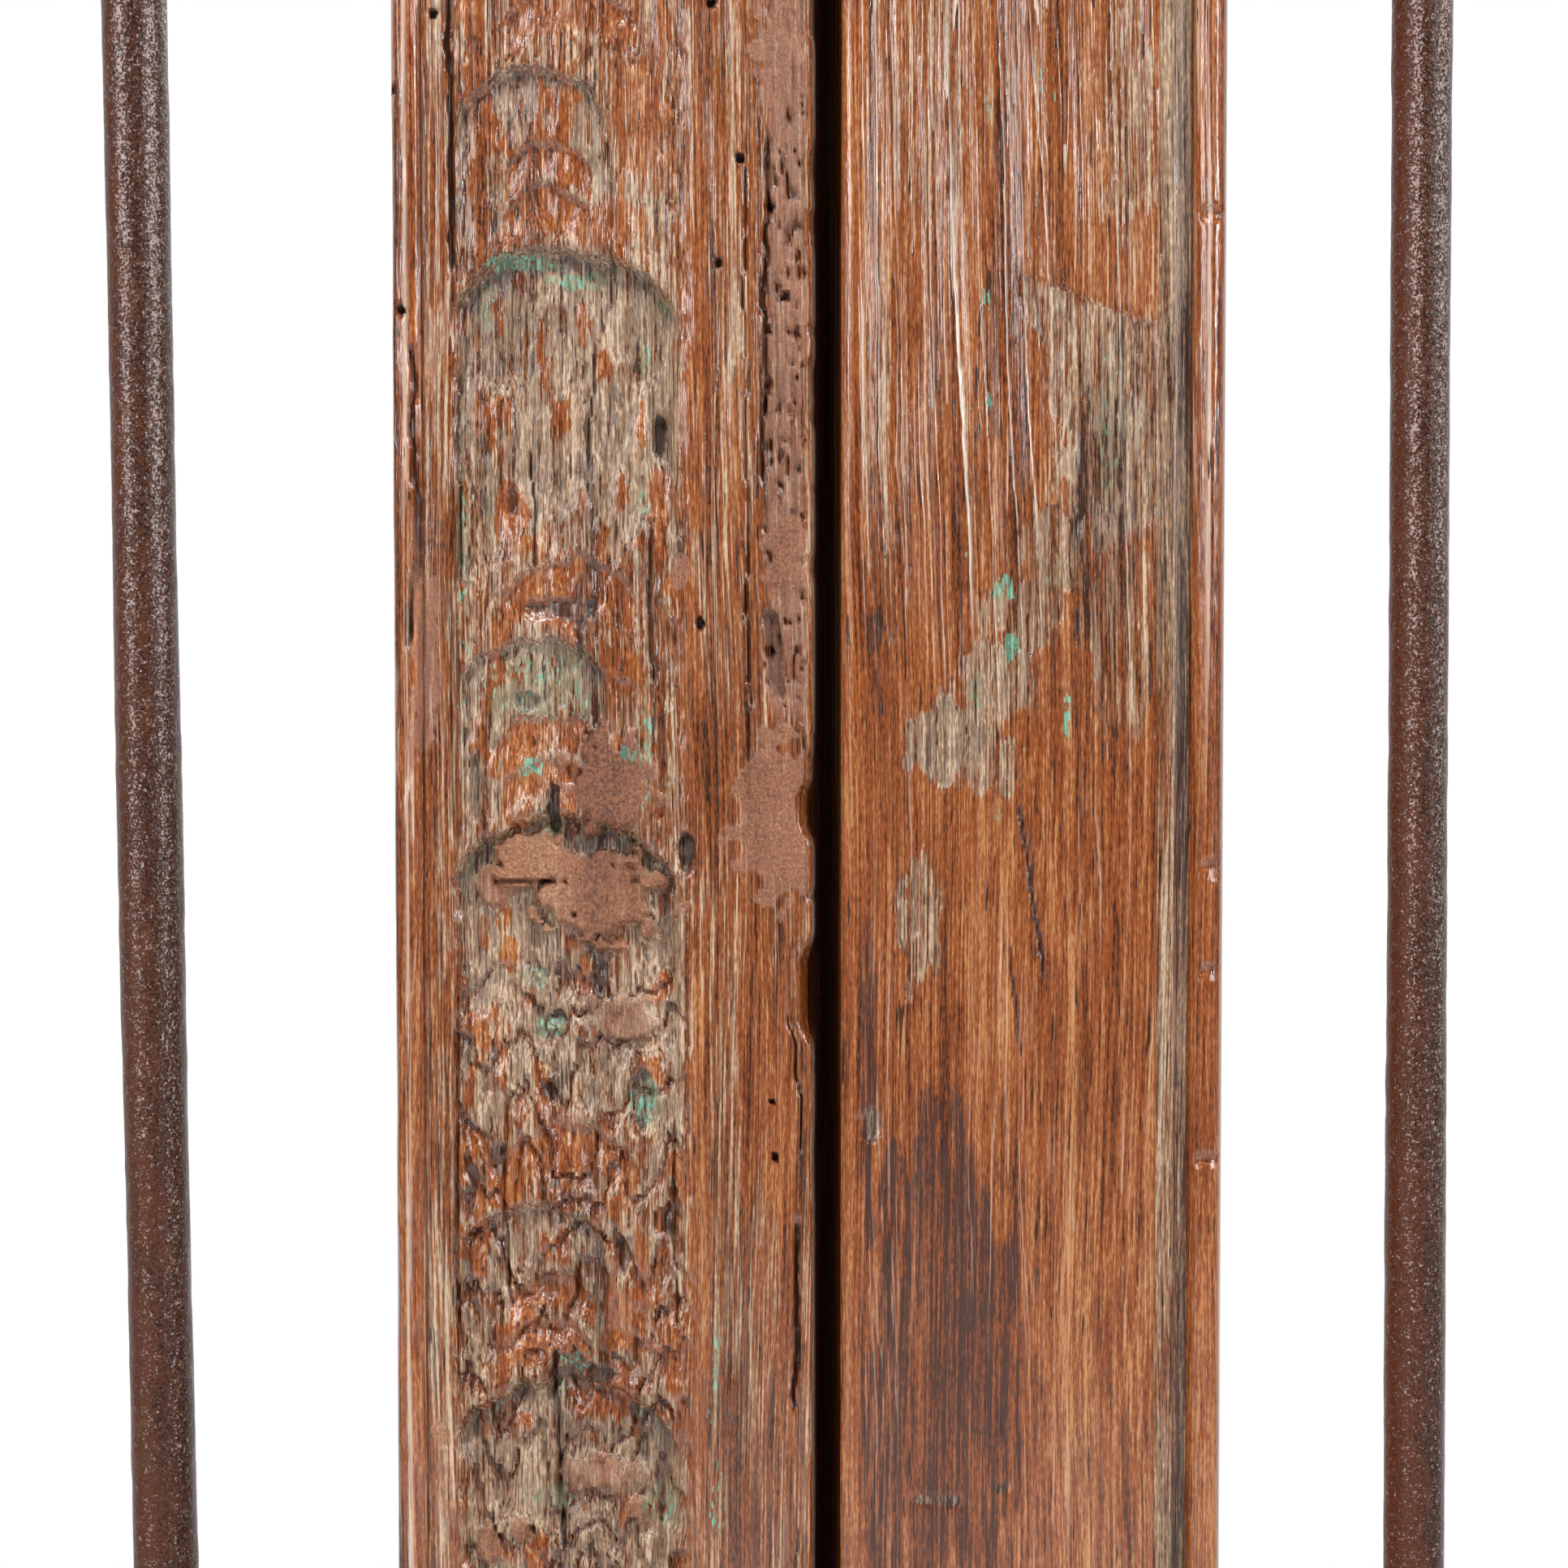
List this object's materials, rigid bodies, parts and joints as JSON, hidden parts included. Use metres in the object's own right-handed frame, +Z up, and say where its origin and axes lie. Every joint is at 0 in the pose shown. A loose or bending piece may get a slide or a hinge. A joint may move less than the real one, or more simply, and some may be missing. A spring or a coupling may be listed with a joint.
{
  "type": "double dog gate",
  "caption": "Low double gate: pegged hardwood leaves with round iron bars, swinging on iron pivots between posts.",
  "frame": {"origin": "on the flat underside of the sill, midway between the two leaves and in the plane of the pivots", "axes": "+X along the gate to the right as seen from the carved front, +Y away from that front, +Z up"},
  "size_m": [1.17, 0.105, 1.011],
  "materials": {
    "leaf_wood": "weathered, waxed hardwood",
    "frame_wood": "weathered hardwood",
    "peg_wood": "dark hardwood pegs",
    "forged_iron": "forged iron, hammered, brown with rust"
  },
  "bodies": {
    "gate_frame": {"sill": "frame_wood", "left_post": "frame_wood", "left_top_eye": "forged_iron", "left_floor_cup": "forged_iron", "right_post": "frame_wood", "right_top_eye": "forged_iron", "right_floor_cup": "forged_iron"},
    "left_leaf": {"left_meeting_stile": "leaf_wood", "left_hinge_stile": "leaf_wood", "left_top_rail": "leaf_wood", "left_bottom_rail": "leaf_wood", "left_joint_pegs": "peg_wood", "left_top_pin": "forged_iron", "left_foot_pin": "forged_iron", "left_bar_1": "forged_iron", "left_bar_2": "forged_iron", "left_bar_3": "forged_iron", "left_bar_4": "forged_iron", "left_bar_5": "forged_iron"},
    "right_leaf": {"right_meeting_stile": "leaf_wood", "right_hinge_stile": "leaf_wood", "right_top_rail": "leaf_wood", "right_bottom_rail": "leaf_wood", "right_joint_pegs": "peg_wood", "right_top_pin": "forged_iron", "right_foot_pin": "forged_iron", "right_bar_1": "forged_iron", "right_bar_2": "forged_iron", "right_bar_3": "forged_iron", "right_bar_4": "forged_iron", "right_bar_5": "forged_iron", "right_bar_6": "forged_iron"}
  },
  "joints": [
    {"name": "left_leaf_swing", "type": "hinge", "parent": "gate_frame", "child": "left_leaf", "pos_m": [-0.476, 0, 0.045], "axis": [0, 0, 1], "range_deg": [-90, 90]},
    {"name": "right_leaf_swing", "type": "hinge", "parent": "gate_frame", "child": "right_leaf", "pos_m": [0.476, 0, 0.045], "axis": [0, 0, -1], "range_deg": [-90, 90]}
  ]
}
